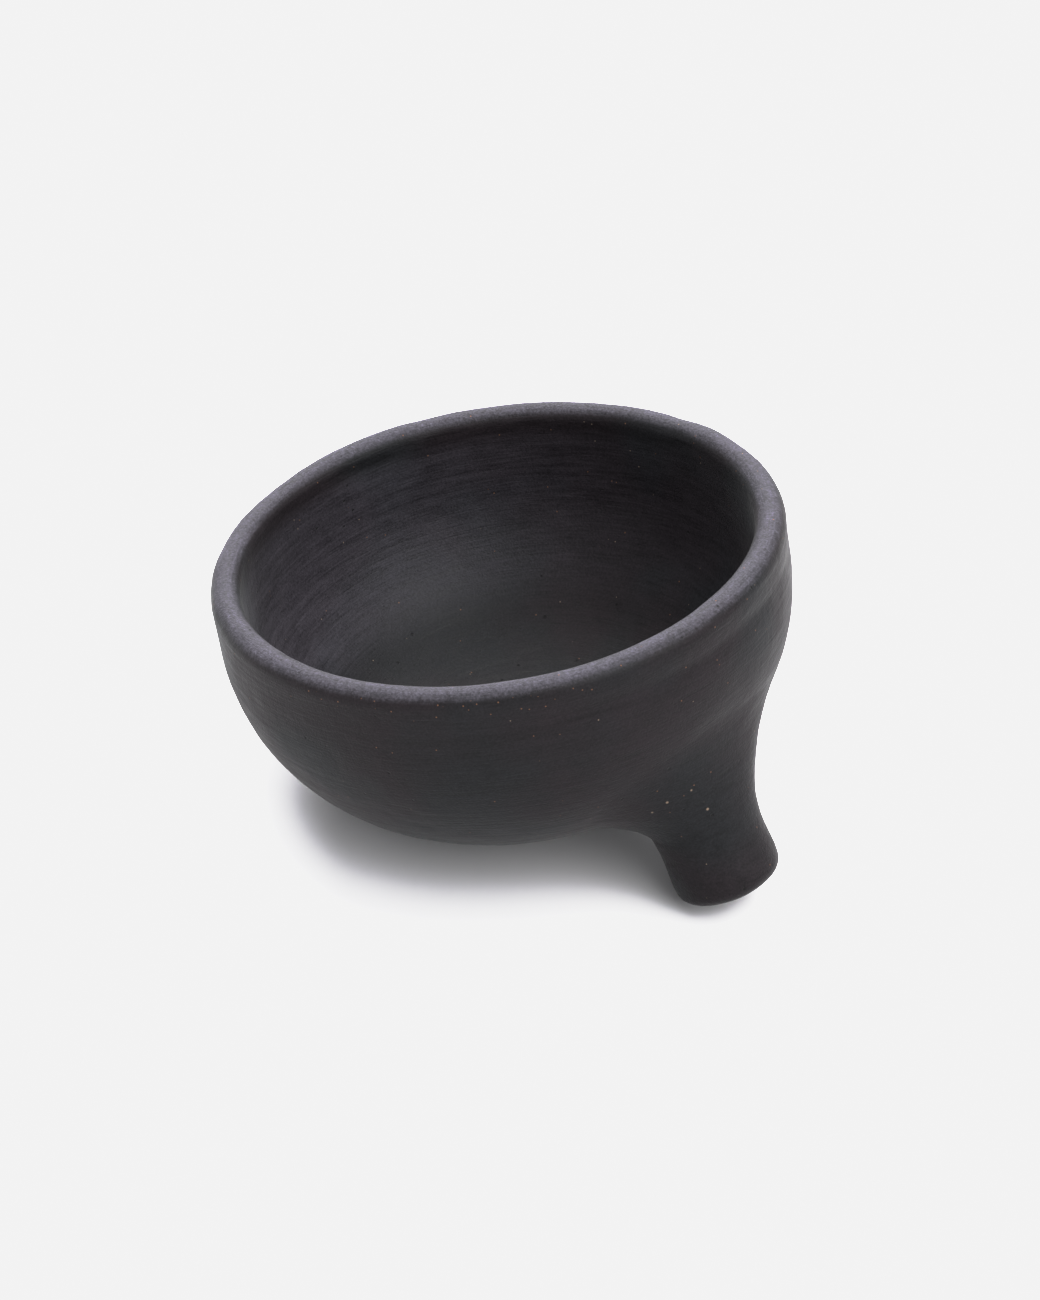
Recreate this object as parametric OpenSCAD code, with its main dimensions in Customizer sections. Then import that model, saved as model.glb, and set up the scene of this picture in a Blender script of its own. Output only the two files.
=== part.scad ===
// One-legged clay molcajete: a hand-built bowl that leans on its rounded belly and one splayed leg.
//
// Two frames are used. The bowl frame has its origin on the bowl's axis at the widest line, with +Z
// up the axis and +X towards the leg. The row frame has +Z up from the table, and its origin is the
// middle of the small flat that the belly stands on. The lean between the two follows from the leg.

/* [Bowl] */
// Outside diameter at the widest line
bowl_d = 140; // [110:1:190]
// Depth of the belly, from the widest line down to the lowest point of the outside
belly_h = 53.5; // [38:0.1:66]
// Height of the upright band, from the widest line up to the top of the lip
band_h = 15.9; // [10:0.1:26]
// Thickness of the wall and of the rounded lip
wall = 7.4; // [5:0.1:10]
// Thickness of the floor in the middle
floor_t = 9; // [6:0.1:14]
// Slope at which the flatter bottom turns into the side, in degrees round from the bottom
belly_turn = 21.5; // [12:0.5:23]

/* [Clay pieces] */
// Height of the rim coil, from its joint on the outside up to the top of the lip
rim_coil_h = 13; // [8:0.5:15]
// Height that each flattened wall coil adds
wall_coil_h = 14.5; // [8:0.5:16]
// Drop of a coil's joint from the outside of the wall to the inside, where the clay was smeared down
joint_lap = 4; // [1:0.5:6]

/* [Leg] */
// Slope of the wall where the leg's axis meets it, in degrees round from the bottom of the belly
leg_seat = 43.5; // [40:0.5:50]
// Angle between the leg's axis and the bowl's axis, in degrees
leg_splay = 19.2; // [8:0.1:30]
// Length of the leg's axis outside the bowl
leg_len = 28.4; // [22:0.1:38]
// Diameter of the leg's end
leg_end_d = 25.4; // [16:0.1:32]
// Diameter of the leg where its axis meets the bowl
leg_root_d = 28.6; // [18:0.1:36]
// Radius of the rounded edge round the leg's end
leg_edge_r = 3.2; // [2:0.1:6]
// Thickness of the slip that glues the leg to the bowl
slip_t = 0.8; // [0.4:0.1:2]

/* [Leg joint coil] */
// How far the coil is smoothed up the side of the bowl, past the leg's own thickness
joint_up = 13.7; // [8:0.1:18]
// How far it is smoothed down under the bowl, past the leg's own thickness
joint_down = 2.7; // [2:0.1:5]
// How far it is smoothed out to each side, past the leg's own thickness
joint_side = 18.4; // [10:0.1:24]
// How far down the leg it is smoothed, along the leg's axis
joint_drop = 10; // [7:0.5:16]
// How strongly the coil follows the bowl before it turns down the leg
joint_bowl_pull = 0.33; // [0.15:0.01:0.5]
// How strongly the coil follows the leg before it turns out on to the bowl
joint_leg_pull = 0.22; // [0.1:0.01:0.5]

/* [Standing] */
// Depth that the belly and the leg were pressed flat where they stand
settle = 0.4; // [0.2:0.1:1]

/* [Hidden] */
$fn = 180;

reach = 300;             // longer than any part of the bowl, for cutting shapes
joint_past = 1;          // how far the line of a coil joint runs past the wall on each side
edge_t = 0.3;            // thickness left at a smoothed-out coil's edge
joint_turns = 48;        // points round the joint coil
joint_steps = 12;        // rings from the bowl to the neck

bowl_r = bowl_d / 2;
lip_r = wall / 2;
lip_z = band_h - lip_r;  // height of the lip's centre over the widest line
inner_r = bowl_r - wall;
inner_h = belly_h - floor_t;

// A belly's section is two arcs that meet smoothly at the slope belly_turn: the side arc, centred on
// the widest line, and the bottom arc, centred on the axis. r is the radius at the widest line and h
// the belly's depth. arc_step is how much larger the bottom arc's radius is.
function arc_step(r, h) = (r - h) / (sin(belly_turn) + cos(belly_turn) - 1);
function side_x(r, h) = arc_step(r, h) * sin(belly_turn);
function side_arc(r, h) = r - side_x(r, h);
function bottom_arc(r, h) = side_arc(r, h) + arc_step(r, h);
// Radius of the section at a height z between the bottom and the widest line
function section_r(r, h, z) =
    let (
        rs = side_arc(r, h),
        rb = bottom_arc(r, h),
        turn_z = -rs * cos(belly_turn)
    )
    z >= 0 ? r
    : z > turn_z ? side_x(r, h) + sqrt(rs^2 - z^2)
    : sqrt(max(0, rb^2 - (z - rb + h)^2));

belly_rs = side_arc(bowl_r, belly_h);
belly_sx = side_x(bowl_r, belly_h);
belly_rb = bottom_arc(bowl_r, belly_h);
belly_cz = belly_rb - belly_h;   // height of the bottom arc's centre

// Point and outward normal of the belly where its slope is `slope` degrees round from the bottom,
// turned `turn` degrees round the axis from the leg
function belly_xz(slope) = slope < belly_turn
    ? [belly_rb * sin(slope), belly_cz - belly_rb * cos(slope)]
    : [belly_sx + belly_rs * sin(slope), -belly_rs * cos(slope)];
function belly_point(slope, turn) =
    let (p = belly_xz(slope)) [p[0] * cos(turn), p[0] * sin(turn), p[1]];
function belly_normal(slope, turn) =
    [sin(slope) * cos(turn), sin(slope) * sin(turn), -cos(slope)];

// The leg in the bowl frame
leg_dir = [sin(leg_splay), 0, -cos(leg_splay)];   // down the leg
leg_out = [cos(leg_splay), 0, sin(leg_splay)];    // across it, away from the bowl
seat_point = belly_point(leg_seat, 0);
leg_end = seat_point + leg_len * leg_dir;
neck_point = seat_point + joint_drop * leg_dir;   // where the joint coil runs out
leg_end_r = leg_end_d / 2;
leg_root_r = leg_root_d / 2;
leg_taper = (leg_root_r - leg_end_r) / leg_len;
function leg_r(up) = leg_end_r + leg_taper * up;  // radius at a height above the end
leg_inside = leg_root_r + wall;                   // how far the leg's blank runs past the seat

// The lean at which the bottom arc and the leg's rounded edge reach the table together
leg_heel = leg_end - leg_edge_r * leg_dir - (leg_end_r - leg_edge_r) * leg_out;
heel_rise = leg_heel[2] - belly_cz;
lean = atan2(leg_heel[0], heel_rise)
    - acos((leg_edge_r - belly_rb) / norm([leg_heel[0], heel_rise]));

// Heights of the coil joints on the outside of the wall, from the top down
joints = [for (i = [0 : 2]) band_h - rim_coil_h - i * wall_coil_h];

// The joint coil's edge on the bowl is an oval in slope and turn
slope_up = leg_seat + (leg_root_r + joint_up) / belly_rs * 180 / PI;
slope_down = leg_seat - (leg_root_r + joint_down) / belly_rs * 180 / PI;
slope_mid = (slope_up + slope_down) / 2;
slope_half = (slope_up - slope_down) / 2;
turn_half = (leg_root_r + joint_side) / belly_xz(slope_mid)[0] * 180 / PI;

function unit(v) = v / norm(v);
function across_leg(a) = cos(a) * leg_out + sin(a) * [0, 1, 0];
function bezier(p, t) =
    (1 - t)^3 * p[0] + 3 * (1 - t)^2 * t * p[1] + 3 * (1 - t) * t^2 * p[2] + t^3 * p[3];

// Control points of the coil's surface at angle a round the leg: it leaves the bowl along the
// bowl's own surface and reaches the neck along the leg's side
function joint_curve(a) =
    let (
        slope = slope_mid + slope_half * cos(a),
        turn = turn_half * sin(a),
        foot_n = belly_normal(slope, turn),
        foot = belly_point(slope, turn) + edge_t * foot_n,
        neck = neck_point + (leg_r(leg_len - joint_drop) + edge_t) * across_leg(a),
        span = neck - foot,
        along_bowl = unit(span - (span * foot_n) * foot_n),
        along_leg = unit(leg_taper * across_leg(a) - leg_dir)
    )
    [
        foot,
        foot + joint_bowl_pull * norm(span) * along_bowl,
        neck + joint_leg_pull * norm(span) * along_leg,
        neck
    ];
function under_foot(a) =
    joint_curve(a)[0]
    - (edge_t + lip_r) * belly_normal(slope_mid + slope_half * cos(a), turn_half * sin(a));

// Puts a piece made in the bowl frame on the table, and cuts what was pressed flat
module stand() {
    difference() {
        translate([0, 0, belly_rb - settle])
            rotate([0, -lean, 0])
                translate([0, 0, -belly_cz])
                    children();
        translate([-reach, -reach, -reach])
            cube([2 * reach, 2 * reach, reach]);
    }
}

// Section of a solid bowl of radius r and belly depth h, up to the height top
module section(r, h, top) {
    rs = side_arc(r, h);
    rb = bottom_arc(r, h);
    sx = side_x(r, h);
    far = [sx + reach * sin(belly_turn), -reach * cos(belly_turn)];
    intersection() {
        translate([0, rb - h]) circle(r = rb);
        polygon([[0, 0], [sx, 0], far, [0, far[1]]]);
    }
    intersection() {
        translate([sx, 0]) circle(r = rs);
        polygon([[sx, 0], [reach, 0], [reach, far[1]], far]);
    }
    square([r, top]);
}

// Section of the whole wall, with its rounded lip
module wall_section() {
    difference() {
        section(bowl_r, belly_h, lip_z);
        translate([-1, 0]) square([1, reach], center = true);
        section(inner_r, inner_h, reach);
    }
    translate([bowl_r - lip_r, lip_z]) circle(r = lip_r);
}

// Everything below a coil joint. The joint drops from the outside of the wall to the inside, and its
// line runs past both sides of the wall, so that it crosses them cleanly at every size.
module below_joint(z) {
    out = [section_r(bowl_r, belly_h, z), z];
    in = [section_r(inner_r, inner_h, z - joint_lap), z - joint_lap];
    out_end = out + joint_past * unit(out - in);
    in_end = in - joint_past * unit(out - in);
    polygon([
        [0, -reach], [reach, -reach], [reach, out_end[1]], out_end,
        in_end, [0, in_end[1]]
    ]);
}

// The solid bowl, grown by `grow` all over, that the leg's pieces are cut to
module bowl_blank(grow) {
    rotate_extrude()
        section(bowl_r + grow, belly_h + grow, lip_z);
}

// The tapered leg before it is cut to the bowl, with a rounded edge at its end
module leg_blank() {
    top = leg_len + leg_inside;
    translate(leg_end)
        rotate([0, -leg_splay, 0])
            rotate_extrude() {
                polygon([
                    [0, 0], [leg_end_r - leg_edge_r, 0], [leg_end_r - leg_edge_r, leg_edge_r],
                    [leg_r(leg_edge_r), leg_edge_r], [leg_r(top), top], [0, top]
                ]);
                intersection() {
                    translate([leg_end_r - leg_edge_r, leg_edge_r]) circle(r = leg_edge_r);
                    translate([leg_end_r - leg_edge_r, 0]) square(leg_edge_r);
                }
            }
}

// The joint coil before it is cut to the bowl and the leg
module joint_blank() {
    angles = [for (i = [0 : joint_turns - 1]) 360 * i / joint_turns];
    curves = [for (a = angles) joint_curve(a)];
    rings = [
        [for (a = angles) under_foot(a)],
        for (s = [0 : joint_steps]) [for (c = curves) bezier(c, s / joint_steps)]
    ];
    points = concat([for (r = rings) each r], [seat_point - wall * belly_normal(leg_seat, 0)],
        [neck_point]);
    n = joint_turns;
    last = len(rings) - 1;
    inside = len(points) - 2;
    neck = len(points) - 1;
    faces = concat(
        [for (i = [0 : n - 1]) [inside, (i + 1) % n, i]],
        [for (k = [0 : last - 1], i = [0 : n - 1])
            each let (a = k * n + i, b = k * n + (i + 1) % n) [[a, b, a + n], [b, b + n, a + n]]],
        [for (i = [0 : n - 1]) [neck, last * n + i, last * n + (i + 1) % n]]
    );
    polyhedron(points, faces);
}

module base_cup() {
    color("#38373a") stand() rotate_extrude()
        intersection() {
            wall_section();
            below_joint(joints[2]);
        }
}

// A wall coil that fills the wall between joint i above and joint i + 1 below
module wall_coil(i) {
    rotate_extrude()
        difference() {
            intersection() {
                wall_section();
                below_joint(joints[i]);
            }
            below_joint(joints[i + 1]);
        }
}

module lower_wall_coil() {
    color("#3b3a3c") stand() wall_coil(1);
}

module upper_wall_coil() {
    color("#3d3c3f") stand() wall_coil(0);
}

module rim_coil() {
    color("#4a494e") stand() rotate_extrude()
        difference() {
            wall_section();
            below_joint(joints[0]);
        }
}

module leg() {
    color("#333235") stand() difference() {
        leg_blank();
        bowl_blank(slip_t);
    }
}

module leg_slip() {
    color("#2c2b2d") stand() difference() {
        intersection() {
            leg_blank();
            bowl_blank(slip_t);
        }
        bowl_blank(0);
    }
}

module leg_joint_coil() {
    color("#363538") stand() difference() {
        joint_blank();
        bowl_blank(0);
        leg_blank();
    }
}

base_cup();
lower_wall_coil();
upper_wall_coil();
rim_coil();
leg();
leg_slip();
leg_joint_coil();
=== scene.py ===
# %% [markdown]
# # A one-legged clay molcajete
# This is a small kitchen mortar that a potter built by hand from black clay: a cup, three coils
# for the wall and the rim, one thick leg, and a coil smoothed round the leg's root. It stands on its
# round belly and on the inner edge of the leg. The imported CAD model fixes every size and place, and
# this lesson builds the surfaces that a camera sees around it.

# %% Load the frame
from math import acos, atan2, cos, hypot, pi, radians, sin

import bmesh
import bpy
import numpy as np
from mathutils import Matrix, Vector


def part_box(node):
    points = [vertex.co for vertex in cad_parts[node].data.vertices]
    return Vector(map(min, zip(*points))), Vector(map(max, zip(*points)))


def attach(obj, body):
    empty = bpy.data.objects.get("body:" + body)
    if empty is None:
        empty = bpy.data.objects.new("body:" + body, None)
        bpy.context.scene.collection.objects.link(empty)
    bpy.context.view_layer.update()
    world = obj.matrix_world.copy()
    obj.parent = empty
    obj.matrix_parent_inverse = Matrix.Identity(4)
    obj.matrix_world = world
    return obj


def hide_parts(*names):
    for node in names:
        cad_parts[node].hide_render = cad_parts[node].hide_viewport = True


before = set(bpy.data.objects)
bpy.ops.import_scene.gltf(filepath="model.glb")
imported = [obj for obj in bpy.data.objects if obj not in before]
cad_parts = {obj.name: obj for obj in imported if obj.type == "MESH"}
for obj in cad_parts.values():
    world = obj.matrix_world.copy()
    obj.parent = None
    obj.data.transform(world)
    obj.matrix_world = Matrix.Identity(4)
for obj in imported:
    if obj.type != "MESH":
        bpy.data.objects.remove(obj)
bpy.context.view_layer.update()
print("CAD nodes:", ", ".join(sorted(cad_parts)))

# %% [markdown]
# ## The camera
# The camera looks down on the bowl from in front and to the leg's left. A long lens keeps the rim's
# oval natural. It is set by the point that it looks at, its distance, and its two angles, because
# those are what a photographer changes.

# %% Camera
mm = 0.001
camera_azimuth = radians(42.76)     # round from the front, towards the leg
camera_elevation = radians(39.95)
camera_distance = 735.5 * mm
camera_target = Vector((22.35, -7.73, 47.37)) * mm


def direction(azimuth, elevation):
    """The unit vector from the object towards something at an azimuth and an elevation."""
    return Vector((
        sin(azimuth) * cos(elevation),
        -cos(azimuth) * cos(elevation),
        sin(elevation),
    ))


camera = bpy.data.objects.new("camera", bpy.data.cameras.new("camera"))
camera.data.lens = 84.2
camera.data.clip_start = 10 * mm
towards_camera = direction(camera_azimuth, camera_elevation)
camera.location = camera_target + camera_distance * towards_camera
camera.rotation_euler = towards_camera.to_track_quat("Z", "Y").to_euler()
bpy.context.scene.collection.objects.link(camera)
bpy.context.scene.camera = camera
print("camera at", [round(c / mm) for c in camera.location], "mm")

# %% [markdown]
# ## Sizes of the bowl
# The bowl's section is drawn in its own frame: the origin is on its axis at the widest line, +Z runs
# up the axis and +X points to the leg. The belly is two arcs that meet smoothly. The bowl's radius
# comes from the frame, and the rest are the design's own sizes.

# %% Sizes of the bowl
low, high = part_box("upper_wall_coil")
bowl_r = (high.y - low.y) / 2
belly_h = 53.5 * mm
band_h = 15.9 * mm
wall = 7.4 * mm
floor_t = 9 * mm
belly_turn = radians(21.5)          # slope at which the flat bottom turns into the side
coil_joints = [2.9 * mm, -11.6 * mm, -26.1 * mm]
joint_lap = 4 * mm                  # how far a joint drops through the wall

lip_r = wall / 2
lip_z = band_h - lip_r


def belly_arcs(r, h):
    """Side arc's radius, its centre's distance from the axis, and the bottom arc's radius."""
    step = (r - h) / (sin(belly_turn) + cos(belly_turn) - 1)
    return r - step * sin(belly_turn), step * sin(belly_turn), r + step * (1 - sin(belly_turn))


side_r, side_x, bottom_r = belly_arcs(bowl_r, belly_h)
bottom_z = bottom_r - belly_h
print(f"bowl {2 * bowl_r / mm:.1f} mm across, arcs of {side_r / mm:.1f} and {bottom_r / mm:.1f} mm")

# %% Sizes of the leg
leg_seat = radians(43.5)            # slope of the wall where the leg's axis meets it
leg_splay = radians(19.2)
leg_len = 28.4 * mm
leg_end_r = 12.7 * mm
leg_root_r = 14.3 * mm
leg_edge_r = 3.2 * mm
slip_t = 0.8 * mm
leg_taper = (leg_root_r - leg_end_r) / leg_len

leg_dir = Vector((sin(leg_splay), 0, -cos(leg_splay)))
leg_out = Vector((cos(leg_splay), 0, sin(leg_splay)))
side = Vector((0, 1, 0))
seat = Vector((side_x + side_r * sin(leg_seat), 0, -side_r * cos(leg_seat)))
leg_end = seat + leg_len * leg_dir

# %% [markdown]
# ## How it stands
# The bowl leans until its bottom and the heel of the leg's rounded edge reach the table together.
# Both are arcs, so the lean comes out of one line of geometry, and the clay is pressed flat by less
# than half a millimetre where it stands.

# %% The lean, and the move from the bowl's frame to the table
settle = 0.4 * mm
heel = leg_end - leg_edge_r * leg_dir - (leg_end_r - leg_edge_r) * leg_out
heel_rise = heel.z - bottom_z
lean = atan2(heel.x, heel_rise) - acos((leg_edge_r - bottom_r) / hypot(heel.x, heel_rise))
stand = (
    Matrix.Translation((0, 0, bottom_r - settle))
    @ Matrix.Rotation(-lean, 4, "Y")
    @ Matrix.Translation((0, 0, -bottom_z))
)
lip_top = (stand @ Vector((bowl_r - lip_r, 0, lip_z))).z + lip_r
rim_gap = (lip_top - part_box("rim_coil")[1].z) / mm
print(f"the bowl leans {lean * 180 / pi:.2f} degrees, and its rim is {rim_gap:+.3f} mm off the CAD rim")

# %% [markdown]
# ## A potter's hand
# Nothing on the real bowl is perfectly round. Each piece is made exact first, and then every piece
# goes through one and the same bending of space. Pieces that touch move together, so no joint
# opens: broad swells from the hands, small facets from the smoothing stone, a few dents in the lip,
# the shallow valley under the rim where its coil was pressed on, and the leg's slight waist and flare.

# %% Swells of clay
wave_count = 28
hand_scales = [
    # seed, size of a swell, how far it moves the clay
    (1, 70 * mm, 0.18 * mm),
    (2, 22 * mm, 0.06 * mm),
    (3, 7 * mm, 0.02 * mm),
    (4, 2.6 * mm, 0.009 * mm),
]
print("the hand leaves swells of", ", ".join(f"{size / mm:g}" for _, size, _ in hand_scales), "mm")


def swells(points, seed, size, amount):
    """A smooth random push at each point, the sum of waves that are all about one size."""
    rng = np.random.default_rng(seed)
    headings = rng.normal(size=(wave_count, 3))
    headings /= np.linalg.norm(headings, axis=1)[:, None]
    headings *= 2 * pi / size * rng.uniform(0.7, 1.4, (wave_count, 1))
    phases = rng.uniform(0, 2 * pi, wave_count)
    pushes = rng.normal(size=(wave_count, 3)) * (2 / wave_count) ** 0.5
    return amount * np.cos(points @ headings.T + phases) @ pushes


# %% Dents in the lip, the valley under it, and the leg's waist and flare
lip_dents = [
    # turn from the leg, half width, how far the lip moves out, and how far up
    (radians(80), radians(5), 0.2 * mm, 0.15 * mm),
    (radians(90), radians(4), -0.2 * mm, -0.15 * mm),
    (radians(178), radians(26), 0.5 * mm, 0.2 * mm),
    (radians(150), radians(4), -0.15 * mm, -0.15 * mm),
    (radians(-150), radians(7), -0.15 * mm, -0.1 * mm),
]
dent_depth = 14 * mm                # how far below the lip a dent still shows
valley_z = lip_z - 5.5 * mm
valley_half = 2.6 * mm
valley_depth = 0.55 * mm
valley_turn = radians(-5)
valley_spread = radians(38)
calm_height = 12 * mm               # below this, swells and dents fade out towards the table

# how much thicker or thinner the leg's radius is, how far up from its end, and over what half length
flare, flare_at, flare_half = 0.5 * mm, 4 * mm, 5 * mm
waist, waist_at, waist_half = 0.35 * mm, 14 * mm, 6 * mm


def bump(x, half):
    """1 at x = 0, falling smoothly to nothing about two halves away."""
    return np.exp(-(x / half) ** 2)


def turn_from(turns, centre):
    """Turns round the axis measured from centre, wrapped into a half turn each way."""
    return (turns - centre + pi) % (2 * pi) - pi


def leg_thickening(points):
    """How the flare and the waist move points out from the leg's axis, or in towards it."""
    up_leg = (points - np.array(leg_end)) @ -np.array(leg_dir)
    off_axis = points - np.array(leg_end) + up_leg[:, None] * np.array(leg_dir)
    leg_reach = np.linalg.norm(off_axis, axis=1)
    thicker = flare * bump(up_leg - flare_at, flare_half) - waist * bump(up_leg - waist_at, waist_half)
    thicker *= np.clip(2 - leg_reach / leg_root_r, 0, 1)
    return (thicker / leg_root_r)[:, None] * off_axis


def worked_by_hand(points):
    """Points of the bowl's frame, moved as a potter's hands would leave them."""
    x, y, z = points.T
    reach = np.hypot(x, y)
    turn = np.arctan2(y, x)
    outward = np.stack([x, y, 0 * x], 1) / np.maximum(reach, 1e-6)[:, None]
    moved = sum(swells(points, *scale) for scale in hand_scales)
    near_lip = np.clip(1 + (z - lip_z) / dent_depth, 0, 1) ** 2
    for centre, half, out, up in lip_dents:
        share = near_lip * bump(turn_from(turn, centre), half)
        moved += share[:, None] * (out * outward + [0, 0, up])
    outside = np.clip((reach - bowl_r) / wall + 1, 0, 1)
    valley = bump(z - valley_z, valley_half) * bump(turn_from(turn, valley_turn), valley_spread)
    moved -= (valley_depth * outside * valley)[:, None] * outward
    height = points @ np.array(stand)[2, :3] + stand[2][3]
    moved *= np.clip(height / calm_height, 0, 1)[:, None]
    moved += leg_thickening(points)
    return points + moved


# %% [markdown]
# ## Finishing a piece
# Every piece takes the same last steps: it is bent by the potter's hand, stood on the table, pressed
# flat where it would sink into it, and shaded smooth with crisp corners, and the CAD node that it
# stands for is hidden. Its place is in its mesh, and its object stays at the origin.
# Corners count as crisp from a small angle on, because a coil's hidden joint face meets the inside of
# the wall at a shallow one, and smoothing over that edge would show the joint as a thin line.

# %% Finish a piece
crease_angle = radians(10)
same_place = 0.1e-6                 # points closer than this are one point
pieces = {}


def get_points(mesh):
    flat = np.empty(len(mesh.vertices) * 3, np.float32)
    mesh.vertices.foreach_get("co", flat)
    return flat.reshape(-1, 3).astype(float)


def set_points(mesh, points):
    mesh.vertices.foreach_set("co", points.astype(np.float32).ravel())
    mesh.update()


def finish_piece(bm, name, node):
    """Turns a bmesh in the bowl's frame into a piece of the object, in place of a CAD node."""
    bmesh.ops.remove_doubles(bm, verts=bm.verts[:], dist=same_place)
    bmesh.ops.recalc_face_normals(bm, faces=bm.faces[:])
    mesh = bpy.data.meshes.new(name)
    bm.to_mesh(mesh)
    bm.free()
    standing = np.array(stand)
    points = worked_by_hand(get_points(mesh)) @ standing[:3, :3].T + standing[:3, 3]
    points[:, 2] = np.maximum(points[:, 2], 0)
    set_points(mesh, points)
    mesh.shade_smooth()
    mesh.set_sharp_from_angle(angle=crease_angle)
    piece = bpy.data.objects.new(name, mesh)
    bpy.context.scene.collection.objects.link(piece)
    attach(piece, "root")
    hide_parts(node)
    pieces[name] = piece
    mesh.calc_loop_triangles()
    print(f"{name}: {len(mesh.loop_triangles)} triangles, in place of {node}")


# %% [markdown]
# ## From a section to a ring
# A potter thinks in sections. A single corner point is swung round a centre like a compass point to
# draw an arc, and the finished chain is swung round the bowl's axis. Spin does both jobs, so no point
# is worked out by hand. A full turn in small steps is slow, so it is made as one narrow wedge, then
# copies of the wedge, and merging closes the ring where it meets itself.

# %% Drawing with a compass and a ruler, and turning on a wheel
wedges = 30
on_cut = 0.01e-6                    # points closer to a cut than this lie on it


def full_turn(bm, steps):
    """Turns a profile once round the axis: a narrow wedge first, then copies of that wedge."""
    wheel = {"cent": (0, 0, 0), "axis": (0, 0, 1)}
    wedge = 2 * pi / wedges
    bmesh.ops.spin(
        bm, geom=bm.verts[:] + bm.edges[:], angle=wedge, steps=steps // wedges, **wheel,
    )
    bmesh.ops.spin(
        bm, geom=bm.verts[:] + bm.edges[:] + bm.faces[:], angle=2 * pi - wedge,
        steps=wedges - 1, use_duplicate=True, **wheel,
    )
    bmesh.ops.remove_doubles(bm, verts=bm.verts[:], dist=same_place)


def swing(bm, vert, centre, angle, radius, step):
    """Draws an arc from vert by swinging it round centre, and returns the arc's other end."""
    steps = max(2, round(abs(angle) * radius / step))
    drawn = bmesh.ops.spin(
        bm, geom=[vert], cent=centre, axis=(0, 1, 0), angle=-angle, steps=steps,
    )
    return next(g for g in drawn["geom_last"] if isinstance(g, bmesh.types.BMVert))


def rule(bm, vert, end, step):
    """Draws a straight line from vert to end in short steps, and returns the new end."""
    end = Vector(end)
    steps = max(1, round((end - vert.co).length / step))
    stride = (end - vert.co) / steps
    for _ in range(steps):
        new = bmesh.ops.extrude_vert_indiv(bm, verts=[vert])["verts"][0]
        new.co = vert.co + stride
        vert = new
    return vert


def belly_line(bm, r, h, top, step):
    """Draws a belly's outline from the axis out to its widest line and up to top."""
    arc, x, bottom = belly_arcs(r, h)
    vert = bm.verts.new((0, 0, -h))
    vert = swing(bm, vert, (0, 0, bottom - h), belly_turn, bottom, step)
    vert = swing(bm, vert, (x, 0, 0), pi / 2 - belly_turn, arc, step)
    return rule(bm, vert, (r, 0, top), step)


def cut_line(bm, verts, height, keep_below):
    """Cuts a drawn line at a height, and keeps the part below or above it."""
    edges = {edge for vert in verts for edge in vert.link_edges}
    bmesh.ops.bisect_plane(
        bm, geom=list(verts) + list(edges), dist=on_cut, plane_co=(0, 0, height),
        plane_no=(0, 0, 1 if keep_below else -1), clear_outer=True,
    )


def loose_ends(bm):
    """The ends of a drawn line, the lower one first."""
    return sorted((v for v in bm.verts if len(v.link_edges) == 1), key=lambda v: (v.co.z, v.co.x))


# %% [markdown]
# ## The cup, the coils and the rim
# Every ring of the wall has the same kind of section: a stretch of the outside, a stretch of the
# inside that sits a little lower because the joint was smeared down with a thumb, and two joints
# across the wall. The cup's two lines run in to the axis instead, and the rim's two lines meet over
# the rounded lip.

# %% One ring of the wall
ring_steps = 720


def wall_face(r, h, top, bottom, step):
    """A stretch of the wall's outside or inside between two heights, as a loose bmesh."""
    line = bmesh.new()
    belly_line(line, r, h, lip_z, step)
    if top is not None:
        cut_line(line, line.verts[:], top, True)
    if bottom is not None:
        cut_line(line, line.verts[:], bottom, False)
    return line


def wall_ring(name, node, slot, top, bottom, step):
    """The ring of the wall between two coil joints. None stands for the lip or for the axis."""
    bm = wall_face(bowl_r, belly_h, top, bottom, step)
    outer_low, outer_high = loose_ends(bm)
    lining = wall_face(
        bowl_r - wall, belly_h - floor_t,
        None if top is None else top - joint_lap,
        None if bottom is None else bottom - joint_lap,
        step,
    )
    scratch = bpy.data.meshes.new("lining")
    lining.to_mesh(scratch)
    lining.free()
    bm.from_mesh(scratch)
    bpy.data.meshes.remove(scratch)
    inner_low, inner_high = [v for v in loose_ends(bm) if v not in (outer_low, outer_high)]
    if top is None:
        swing(bm, outer_high, (bowl_r - lip_r, 0, lip_z), pi, lip_r, step)
    else:
        rule(bm, outer_high, inner_high.co, step)
    if bottom is not None:
        rule(bm, outer_low, inner_low.co, step)
    bmesh.ops.remove_doubles(bm, verts=bm.verts[:], dist=same_place)
    full_turn(bm, ring_steps)
    finish_piece(bm, name, node)


first, second, third = coil_joints
rings = [
    # name, CAD node, slot, upper joint, lower joint, step along the section
    ("rim", "rim_coil", "rim_clay", None, first, 0.45 * mm),
    ("upper_wall", "upper_wall_coil", "black_clay", first, second, 0.8 * mm),
    ("lower_wall", "lower_wall_coil", "black_clay", second, third, 0.8 * mm),
    ("cup", "base_cup", "black_clay", third, None, 1.1 * mm),
]
for ring in rings:
    wall_ring(*ring)

# %% [markdown]
# ## The leg
# The leg is a short tapered stump, turned like the bowl but round its own axis. Its top has to fit
# the belly. Instead of cutting it, every point of its top slides up or down along the leg's axis
# until it lies on the bowl, as soft clay does when it is pressed on.

# %% How far a point is from the bowl's outside
def outside_bowl(points):
    """Distance from the bowl's outer surface, positive outside it."""
    x, y, z = points.T
    reach = np.hypot(x, y)
    from_side = np.hypot(reach - side_x, z) - side_r
    from_bottom = np.hypot(reach, z - bottom_z) - bottom_r
    slope = np.arctan2(reach - side_x, -z)
    belly = np.where(slope > belly_turn, from_side, from_bottom)
    return np.where(z > 0, reach - bowl_r, belly)


halvings = 40                       # enough to halve the search down to the last digit


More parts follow.
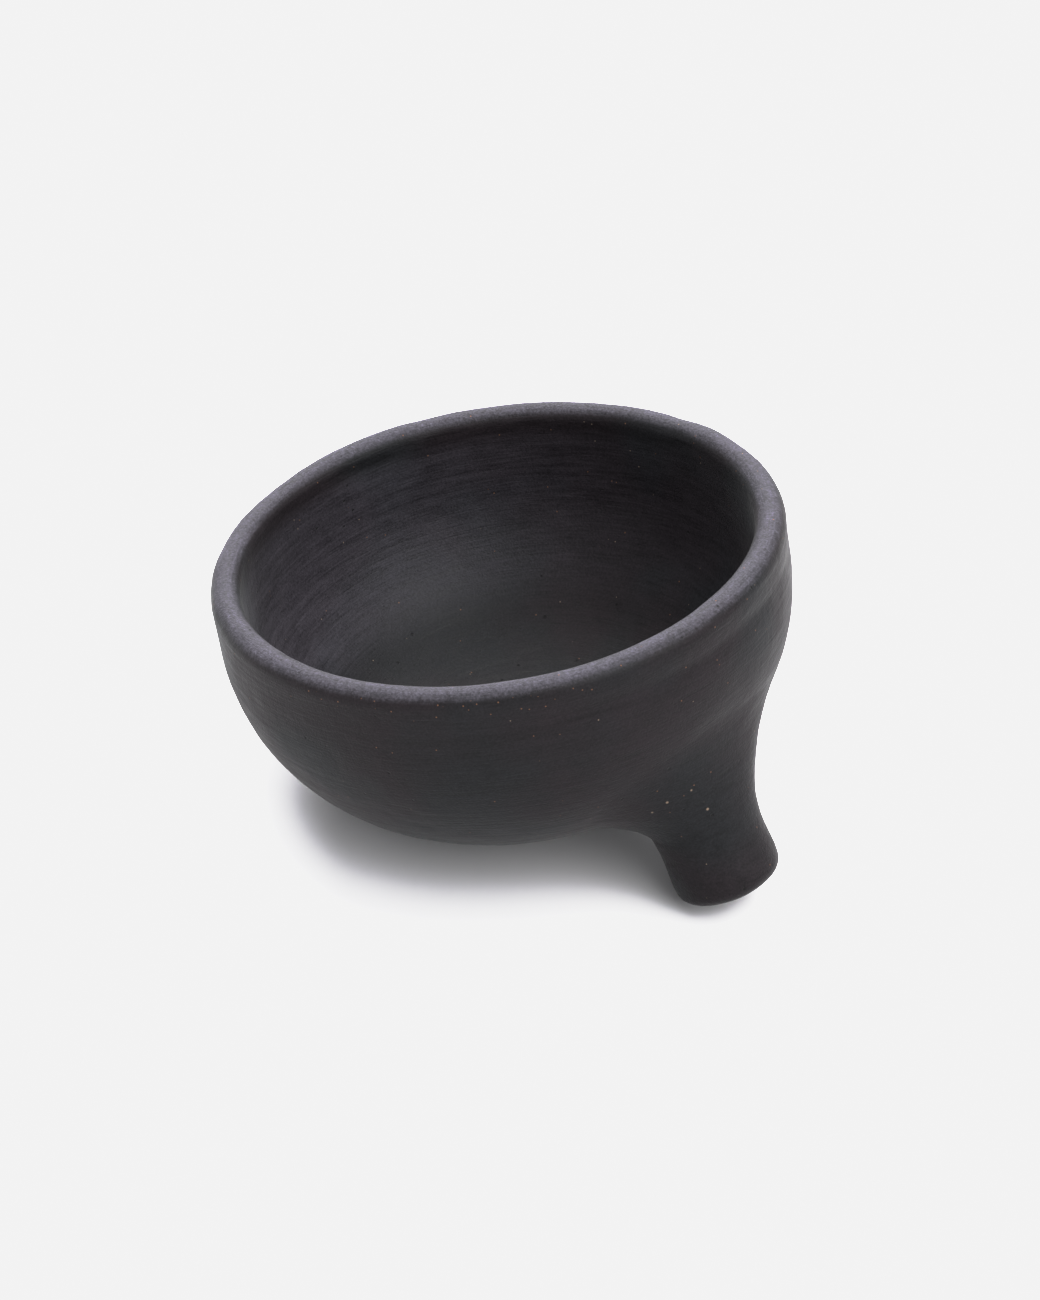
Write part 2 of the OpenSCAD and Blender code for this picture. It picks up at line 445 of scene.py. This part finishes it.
def slide_to_bowl(points, gap):
    """Slides points along the leg's axis until they are a gap outside the bowl."""
    along = np.array(leg_dir)
    inside = np.full(len(points), -2 * bowl_r)
    outside = np.full(len(points), 2 * bowl_r)
    for _ in range(halvings):
        middle = (inside + outside) / 2
        is_in = outside_bowl(points + middle[:, None] * along) < gap
        inside = np.where(is_in, middle, inside)
        outside = np.where(is_in, outside, middle)
    return points + middle[:, None] * along


# %% Turn the leg and fit its top
leg_turns = 240
leg_step = 0.8 * mm
edge_step = 0.4 * mm
leg_top = leg_len - 0.01 * mm       # what is above this is fitted to the bowl
leg_frame = Matrix((
    (leg_out.x, 0, -leg_dir.x, leg_end.x),
    (leg_out.y, 1, -leg_dir.y, leg_end.y),
    (leg_out.z, 0, -leg_dir.z, leg_end.z),
    (0, 0, 0, 1),
))
print("leg frame turns like a rotation:", abs(leg_frame.to_3x3().determinant() - 1) < 1e-6)


def fit_to_bowl(bm, above, gap):
    """Slides the points above a height of the leg's frame on to the bowl, then leaves that frame."""
    top = [v for v in bm.verts if v.co.z > above]
    bmesh.ops.transform(bm, matrix=leg_frame, verts=bm.verts[:])
    fitted = slide_to_bowl(np.array([v.co for v in top]), gap)
    for vert, place in zip(top, fitted):
        vert.co = place


bm = bmesh.new()
vert = bm.verts.new((0, 0, 0))
vert = rule(bm, vert, (leg_end_r - leg_edge_r, 0, 0), leg_step)
vert = swing(bm, vert, (leg_end_r - leg_edge_r, 0, leg_edge_r), pi / 2, leg_edge_r, edge_step)
vert = rule(bm, vert, (leg_root_r, 0, leg_len), leg_step)
rule(bm, vert, (0, 0, leg_len), leg_step)
full_turn(bm, leg_turns)
fit_to_bowl(bm, leg_top, slip_t)
finish_piece(bm, "splayed_leg", "leg")

# %% [markdown]
# ## The slip
# A thin layer of liquid clay glues the leg on. It is a disc with two skins, one on the bowl and one
# a fraction of a millimetre off it, where the leg's top lies. Nobody sees it in a finished bowl,
# but it is there when the leg comes off.

# %% The slip under the leg
bm = bmesh.new()
vert = bm.verts.new((0, 0, leg_len))
rule(bm, vert, (leg_root_r, 0, leg_len), leg_step)
full_turn(bm, leg_turns)
fit_to_bowl(bm, 0, 0)
skin = bm.faces[:]
copied = bmesh.ops.duplicate(bm, geom=bm.verts[:] + bm.edges[:] + skin)
outer = [g for g in copied["geom"] if isinstance(g, bmesh.types.BMVert)]
for vert, place in zip(outer, slide_to_bowl(np.array([v.co for v in outer]), slip_t)):
    vert.co = place
rims = [edge for edge in bm.edges if edge.is_boundary]
bmesh.ops.bridge_loops(bm, edges=rims)
finish_piece(bm, "slip", "leg_slip")

# %% [markdown]
# ## The coil smoothed round the leg's root
# A coil of soft clay was laid in the corner between the bowl and the leg and smoothed out with a
# thumb: far up the side of the bowl, a little way under it, and down the leg. Seen from the leg's
# axis it is a strip wrapped once round, so it is made from a flat grid. One side of the grid is the
# turn round the leg. The other side goes down the smoothed face and back up along the leg and the
# bowl, where the coil sits against them.

# %% The curve of the smoothed face at each turn round the leg
joint_up = 13.7 * mm
joint_down = 2.7 * mm
joint_side = 18.4 * mm
joint_drop = 10 * mm
bowl_pull = 0.33
leg_pull = 0.22
feather = 0.05 * mm                 # the edges start just under the clay that they run out on
neck_point = seat + joint_drop * leg_dir


def unit(vectors):
    return vectors / np.linalg.norm(vectors, axis=-1)[:, None]


def belly_place(slope, turn):
    """Points of the belly's outside by slope and turn, and the directions out of it."""
    on_side = slope > belly_turn
    out = np.where(on_side, side_x + side_r * np.sin(slope), bottom_r * np.sin(slope))
    up = np.where(on_side, -side_r * np.cos(slope), bottom_z - bottom_r * np.cos(slope))
    point = np.stack([out * np.cos(turn), out * np.sin(turn), up], 1)
    normal = np.stack([
        np.sin(slope) * np.cos(turn), np.sin(slope) * np.sin(turn), -np.cos(slope),
    ], 1)
    return point, normal


slope_up = leg_seat + (leg_root_r + joint_up) / side_r
slope_down = leg_seat - (leg_root_r + joint_down) / side_r
slope_mid = (slope_up + slope_down) / 2
turn_half = (leg_root_r + joint_side) / (side_x + side_r * sin(slope_mid))


def coil_section(angles):
    """Bezier handles of the smoothed face, from its foot on the bowl to its neck on the leg."""
    slope = slope_mid + (slope_up - slope_down) / 2 * np.cos(angles)
    foot, foot_out = belly_place(slope, turn_half * np.sin(angles))
    foot -= feather * foot_out
    across = np.cos(angles)[:, None] * np.array(leg_out) + np.sin(angles)[:, None] * np.array(side)
    neck_r = leg_end_r + leg_taper * (leg_len - joint_drop) - feather
    neck = np.array(neck_point) + neck_r * across
    span = neck - foot
    length = np.linalg.norm(span, axis=1)[:, None]
    on_bowl = unit(span - (span * foot_out).sum(1)[:, None] * foot_out)
    on_leg = unit(leg_taper * across - np.array(leg_dir))
    return foot, foot + bowl_pull * length * on_bowl, neck + leg_pull * length * on_leg, neck


# %% Wrap the strip
coil_turns = 360
face_rows = 64
leg_rows = 10
bowl_rows = 24


def to_bowl_skin(points):
    """Moves points straight on to the bowl's outside."""
    x, y, z = points.T
    reach = np.hypot(x, y)
    slope = np.arctan2(reach - side_x, -z)
    slope = np.where(slope > belly_turn, slope, np.arctan2(reach, bottom_z - z))
    return belly_place(slope, np.arctan2(y, x))[0]


angles = np.arange(coil_turns) * 2 * pi / coil_turns
foot, foot_pull, neck_pull, neck = coil_section(angles)
corner = slide_to_bowl(neck, 0)     # where the leg's side, followed up from the neck, meets the bowl
rows = []
for t in np.linspace(0, 1, face_rows + 1):
    rows.append(
        (1 - t) ** 3 * foot + 3 * (1 - t) ** 2 * t * foot_pull
        + 3 * (1 - t) * t ** 2 * neck_pull + t ** 3 * neck
    )
for t in np.linspace(0, 1, leg_rows + 1)[1:]:
    rows.append((1 - t) * neck + t * corner)
for t in np.linspace(0, 1, bowl_rows + 1)[1:-1]:
    rows.append(to_bowl_skin((1 - t) * corner + t * foot))
rows.append(foot)
rows = np.array(rows)

bm = bmesh.new()
bmesh.ops.create_grid(bm, x_segments=coil_turns, y_segments=len(rows) - 1, size=0.5)
for vert in bm.verts:
    around = round((vert.co.x + 0.5) * coil_turns) % coil_turns
    down = round((vert.co.y + 0.5) * (len(rows) - 1))
    vert.co = rows[down, around]
finish_piece(bm, "smoothed_coil", "leg_joint_coil")

# %% [markdown]
# ## Shader sums in Python
# A clay surface is a sum of many small things: patches from the fire, strokes of the smoothing
# stone, grains, specks and wear. Each is a few Math nodes, and wiring them one by one hides the idea.
# This small class wraps a node's output, so that adding and multiplying outputs adds the nodes.

# %% One class for sums, and one method for every other node
class Socket:
    """A node's output that can be used in Python sums. Each sum adds one Math node.

    Without an output, it only adds the first node of a tree.
    """

    def __init__(self, tree, output=None):
        self.tree = tree
        self.output = output

    def node(self, kind, settings, inputs, output=0):
        """Adds a node: its settings first, then its inputs by name or number."""
        made = self.tree.nodes.new("ShaderNode" + kind)
        for name, value in settings.items():
            setattr(made, name, value)
        for name, value in inputs.items():
            if isinstance(value, Socket):
                self.tree.links.new(value.output, made.inputs[name])
            else:
                made.inputs[name].default_value = value
        return Socket(self.tree, made.outputs[output])

    def math(self, operation, first, second=0.0):
        """Adds any Math node, on any two values."""
        return self.node("Math", {"operation": operation}, {0: first, 1: second})

    def __add__(self, other):
        return self.math("ADD", self, other)

    __radd__ = __add__

    def __sub__(self, other):
        return self.math("SUBTRACT", self, other)

    def __rsub__(self, other):
        return self.math("SUBTRACT", other, self)

    def __mul__(self, other):
        return self.math("MULTIPLY", self, other)

    __rmul__ = __mul__

    def __truediv__(self, other):
        return self.math("DIVIDE", self, other)

    def __rtruediv__(self, other):
        return self.math("DIVIDE", other, self)

    def __pow__(self, other):
        return self.math("POWER", self, other)

    def __rpow__(self, other):
        return self.math("POWER", other, self)

    def step(self, low, high, start=0.0, end=1.0):
        """Goes smoothly from start to end while this value goes from low to high."""
        inputs = {"Value": self, 1: low, 2: high, 3: start, 4: end}
        return self.node("MapRange", {"interpolation_type": "SMOOTHSTEP"}, inputs)

    def mix(self, first, second):
        """A colour between two colours, with this value as the share of the second."""
        inputs = {0: self, 6: first, 7: second}
        return self.node("Mix", {"data_type": "RGBA"}, inputs, output=2)


# %% [markdown]
# ## Where a point of the clay is
# The strokes and the wear follow the bowl, not the table, so every pattern is laid out in the bowl's
# own frame and in millimetres. One Mapping node makes that move. The height over the widest line,
# the reach from the axis and the turn from the leg then say where a point is.

# %% The bowl's frame inside a material
to_bowl = stand.inverted()


class Place:
    """Where the shaded point is in the bowl's frame, in millimetres."""

    def __init__(self, tree):
        coords = Socket(tree).node("TexCoord", {}, {}, output="Object")
        self.vector = coords.node("Mapping", {}, {
            "Vector": coords,
            "Location": to_bowl.translation / mm,
            "Rotation": to_bowl.to_euler(),
            "Scale": Vector((1, 1, 1)) / mm,
        })
        self.x, self.y, self.z = (
            self.vector.node("SeparateXYZ", {}, {"Vector": self.vector}, output=i) for i in range(3)
        )
        self.reach = (self.x * self.x + self.y * self.y) ** 0.5
        self.turn = self.x.math("ARCTAN2", self.y, self.x)

    def noise(self, size, detail=2.0, roughness=0.5, offset=0.0):
        """Cloudy noise whose clouds are about one size, in millimetres. Its middle is 0."""
        cloud = self.vector.node("TexNoise", {"noise_dimensions": "4D"}, {
            "Vector": self.vector, "W": offset, "Scale": 1 / size,
            "Detail": detail, "Roughness": roughness,
        })
        return cloud - 0.5

    def strokes(self, length, width, detail=2.0):
        """Noise drawn out round the axis, as strokes of a smoothing stone are. Its middle is 0."""
        drawn = self.vector.node("CombineXYZ", {}, {
            "X": self.x / length, "Y": self.y / length, "Z": self.z / width,
        })
        cloud = self.vector.node("TexNoise", {"noise_dimensions": "4D"}, {
            "Vector": drawn, "W": self.reach / width, "Scale": 1.0,
            "Detail": detail, "Roughness": 0.55,
        })
        return cloud - 0.5

    def grains(self, spacing, offset):
        """Scattered grains: the distance to the nearest one in millimetres, and its own number."""
        moved = self.vector.node("VectorMath", {"operation": "ADD"}, {
            0: self.vector, 1: (offset, offset, offset),
        })
        inputs = {"Vector": moved, "Scale": 1 / spacing}
        distance = self.vector.node("TexVoronoi", {}, inputs, output=0) * spacing
        colour = self.vector.node("TexVoronoi", {}, inputs, output=1)
        number = self.vector.node("SeparateColor", {}, {"Color": colour}, output=0)
        return distance, number

    def near(self, spot, size):
        """1 at a place, falling to 0 at a distance."""
        gap = self.vector.node("VectorMath", {"operation": "DISTANCE"}, {
            0: self.vector, 1: spot,
        }, output=1)
        return gap.step(0.5 * size, size, 1.0, 0.0)


# %% [markdown]
# ## Fired black clay
# The pot was burnished with a stone while it was leather hard, then fired in smoke, which made it
# black all through. Its colour is nearly even: faint cool and warm patches from the fire, long faint
# strokes round the bowl, and a fine grain. Pale and orange grains show where the surface is rubbed,
# mostly along the edges of the lip, and small grains that fell out left dark pits.

# %% The clay's colours and sizes
cool_black = (0.0108, 0.0112, 0.0128, 1)
warm_black = (0.0134, 0.0100, 0.0120, 1)
# the grey of wear, also used as a painted highlight on the lip's top and as a painted sheen inside
highlight_and_wear_grey = (0.062, 0.058, 0.070, 1)
pale_grain = (0.22, 0.17, 0.13, 1)
orange_grain = (0.20, 0.10, 0.055, 1)
pit_black = (0.004, 0.004, 0.004, 1)

leg_grains = [
    # place in the bowl's frame in millimetres, size
    ((63.1, -16.9, -28.9), 0.50),
    ((66.1, -11.4, -27.6), 0.42),
    ((67.5, -8.4, -34.3), 0.48),
    ((60.3, -19.5, -31.2), 0.36),
    ((71.5, 0.3, -43.3), 0.36),
]

# sizes of the patterns in millimetres, and the length and width of the strokes
patch_size, mottle_size, grain_size = 34, 7, 0.55
broad_stroke, fine_stroke = (16, 1.1), (9, 0.4)

# each kind of speck: spacing, shift of its pattern, radii of its core and rim, share of cells with one
pale_specks, pale_share = (1.9, 5.0, 0.10, 0.24), 0.05
orange_specks, orange_share = (1.2, 31.0, 0.10, 0.26), 0.018
pit_specks, pit_share = (3.1, 47.0, 0.2, 0.5), 0.10

# where the clay is worn, and where a painted highlight on the lip's top and a painted sheen on one side
# of the inside lighten it: heights in millimetres in the bowl's frame, and turns from the leg
lip_mm = lip_z / mm
highlight_and_wear_top = (lip_mm + 0.8, lip_mm + 3.6)
edge_start, edge_stop = (lip_mm - 3.0, lip_mm), (lip_mm + 1.0, lip_mm + 3.0)
band_start, band_stop = (-34.0, -24.0), (6.0, 12.0)
mid_reach_mm = (bowl_r - wall / 2) / mm     # the middle of the wall, where inside ends
mid_depth_mm = (belly_h - wall / 2) / mm
rubbed_from, rubbed_to, rubbed_fade = radians(-100), radians(-25), 0.3
# the turn round the axis where the painted sheen inside is strongest
sheen_turn = radians(-155)
falling = (1.0, 0.0)                # makes a step go down, not up
print(f"the lip is worn from {highlight_and_wear_top[0]:.1f} mm up, and specks are {pale_specks[0]} mm apart")


# %% Where the clay is worn, and where painted highlight and sheen lighten it
def highlight_and_wear_on_lip(at):
    """How far the top of the lip is painted lighter grey, partly for wear and partly as a painted
    highlight, with a ragged edge.
    """
    over_lip = at.z.step(*highlight_and_wear_top)
    ragged = at.noise(1.1, 4.0, 0.8, offset=23.0) * 2.0
    return (over_lip + ragged * over_lip).step(0.2, 1.25)


def sheen_and_rub_inside(at):
    """How far the inside of the wall is painted lighter grey: a little rubbing all round, and a painted
    sheen mostly on one side. The outside stays as it is.
    """
    below = at.z.math("MINIMUM", at.z, 0.0) / mid_depth_mm
    across = at.reach / mid_reach_mm
    inside = (across * across + below * below).step(0.98, 1.0, *falling)
    band = at.z.step(*band_start) * at.z.step(*band_stop, *falling)
    sheen_share = at.turn.math("COSINE", at.turn - sheen_turn).step(-0.3, 1.0)
    return inside * band * (0.1 + sheen_share * 0.3)


def rubbed_edge(at):
    """How much more often grains show: a little all round the lip's edge, a lot at the front."""
    edge = at.z.step(*edge_start) * at.z.step(*edge_stop, *falling)
    front = at.turn.step(rubbed_from, rubbed_from + rubbed_fade)
    front = front * at.turn.step(rubbed_to - rubbed_fade, rubbed_to, *falling)
    return edge * 0.05 + edge * front * 0.35


# %% Grains and pits
def scattered(at, specks, share):
    """Specks of one kind, in a share of the pattern's cells."""
    spacing, offset, core, rim = specks
    distance, number = at.grains(spacing, offset)
    return distance.step(core, rim, *falling) * number.math("LESS_THAN", number, share)


def pale_grains(at):
    """Pale grains all over, and the clear ones on the leg."""
    grains = scattered(at, pale_specks, pale_share)
    for spot, size in leg_grains:
        grains = grains.math("MAXIMUM", grains, at.near(spot, size))
    return grains


# %% Black clay
def clay(name, burnish):
    """Black clay. burnish is how strongly the strokes of the smoothing stone show."""
    material = bpy.data.materials.new(name)
    material.use_nodes = True
    tree = material.node_tree
    shader = tree.nodes["Principled BSDF"]
    at = Place(tree)

    patches = (at.noise(patch_size, 2.0, offset=3.0) + at.z.step(-30.0, 10.0) * 0.05).step(-0.1, 0.1)
    mottle = at.noise(mottle_size, 4.0, 0.6, offset=11.0)
    grain = at.noise(grain_size, 2.0, 0.6, offset=17.0)
    streaks = burnish * (at.strokes(*broad_stroke) + at.strokes(*fine_stroke, 1.0) * 0.8)
    lip_highlight_and_wear = highlight_and_wear_on_lip(at)
    pale = pale_grains(at)
    orange = scattered(at, orange_specks, orange_share + rubbed_edge(at))
    pits = scattered(at, pit_specks, pit_share)

    base = patches.mix(cool_black, warm_black)
    # the inside is painted lighter grey: a little rubbing all round, and a painted sheen on one side
    base = sheen_and_rub_inside(at).mix(base, highlight_and_wear_grey)
    # the lip's top is painted lighter grey: partly wear, partly a painted highlight
    base = lip_highlight_and_wear.mix(base, highlight_and_wear_grey)
    tone = 1.0 + mottle * 0.8 + streaks + grain * 1.7
    colour = base.node("Mix", {"data_type": "RGBA", "blend_type": "MULTIPLY"}, {
        0: 1.0, 6: base, 7: base.node("CombineColor", {}, {0: tone, 1: tone, 2: tone}),
    }, output=2)
    colour = (pale * 0.8).mix(colour, pale_grain)
    colour = (orange * 0.7).mix(colour, orange_grain)
    colour = (pits * 0.8).mix(colour, pit_black)
    rough = 0.52 + streaks * 0.3 + mottle * 0.2 + lip_highlight_and_wear * 0.14 + pale * 0.2
    height = grain * 0.10 + streaks * 0.08 + mottle * 0.10 - pits * 0.12 + lip_highlight_and_wear * grain * 0.12
    normal = height.node("Bump", {}, {"Height": height, "Distance": mm, "Strength": 1.0})

    tree.links.new(colour.output, shader.inputs["Base Color"])
    tree.links.new(rough.output, shader.inputs["Roughness"])
    tree.links.new(normal.output, shader.inputs["Normal"])
    shader.inputs["Specular IOR Level"].default_value = 0.2
    shader.inputs["Sheen Weight"].default_value = 0.09
    shader.inputs["Sheen Roughness"].default_value = 0.4
    print(f"{name}: {len(tree.nodes)} nodes")
    return material


# %% Paint the pieces
black_clay = clay("black_clay", 1.0)
rim_clay = clay("rim_clay", 1.0)
clay_slip = clay("clay_slip", 0.3)
for name, piece in pieces.items():
    finish = {"rim": rim_clay, "slip": clay_slip}.get(name, black_clay)
    piece.data.materials.append(finish)

# %% [markdown]
# ## The studio
# Small black objects are lit so that their edges shine: a large soft light stands behind the bowl
# and rims its lip, a second one fills from the side, a third from above, and a pale sky fills the
# rest. Soft suns do this work, because they light the whole floor evenly. The clay is dark, so the
# light is strong, and the floor would come out too bright. The tone curve leaves the clay's dark
# tones as they are and lets the floor reach its even pale tone early, so that only the shadow close
# to the clay is seen.

# %% Sky and soft lights
scene = bpy.context.scene
scene.view_settings.view_transform = "Standard"
scene.view_settings.use_curve_mapping = True
floor_tone = 0.89                   # the brightest tone, a little under full white
tone_curve = scene.view_settings.curve_mapping
tone_curve.extend = "HORIZONTAL"
all_tones = tone_curve.curves[3].points     # curves 0 to 2 are red, green and blue, and 3 is all
all_tones[1].location = (1, floor_tone)
for tone_in, tone_out in ((0.22, 0.22), (0.28, 0.33), (0.44, 0.82), (0.52, floor_tone)):
    all_tones.new(tone_in, tone_out)
for tone in list(all_tones)[-2:]:
    tone.handle_type = "VECTOR"     # no overshoot, which would ring the shadow with a bright edge
tone_curve.update()

soft_lights = [
    # name, azimuth, elevation, how wide it looks, strength
    ("back_light", 228, 42, 50, 3.5),
    ("side_light", 95, 52, 55, 2.3),
    ("top_light", 200, 78, 70, 0.9),
]
for name, azimuth, elevation, width, strength in soft_lights:
    lamp = bpy.data.objects.new(name, bpy.data.lights.new(name, "SUN"))
    lamp.data.angle = radians(width)
    lamp.data.energy = strength
    aim = direction(radians(azimuth), radians(elevation))
    lamp.rotation_euler = aim.to_track_quat("Z", "Y").to_euler()
    scene.collection.objects.link(lamp)
    print(f"{name}: from {azimuth} degrees round and {elevation} up, {width} degrees wide")

sky = bpy.data.worlds.new("sky")
sky.use_nodes = True
sky.node_tree.nodes["Background"].inputs["Color"].default_value = (0.97, 0.98, 1, 1)
sky.node_tree.nodes["Background"].inputs["Strength"].default_value = 0.85
scene.world = sky

# %% The floor
floor_half = 3
floor_mesh = bpy.data.meshes.new("floor")
bm = bmesh.new()
bmesh.ops.create_grid(bm, x_segments=1, y_segments=1, size=floor_half)
bm.to_mesh(floor_mesh)
bm.free()
floor = bpy.data.objects.new("floor", floor_mesh)
scene.collection.objects.link(floor)
floor_paint = bpy.data.materials.new("floor")
floor_paint.use_nodes = True
paint = floor_paint.node_tree.nodes["Principled BSDF"]
paint.inputs["Base Color"].default_value = (0.56, 0.555, 0.56, 1)
paint.inputs["Roughness"].default_value = 0.9
paint.inputs["Specular IOR Level"].default_value = 0
floor_mesh.materials.append(floor_paint)
print(f"the floor is {2 * floor_half} m across")
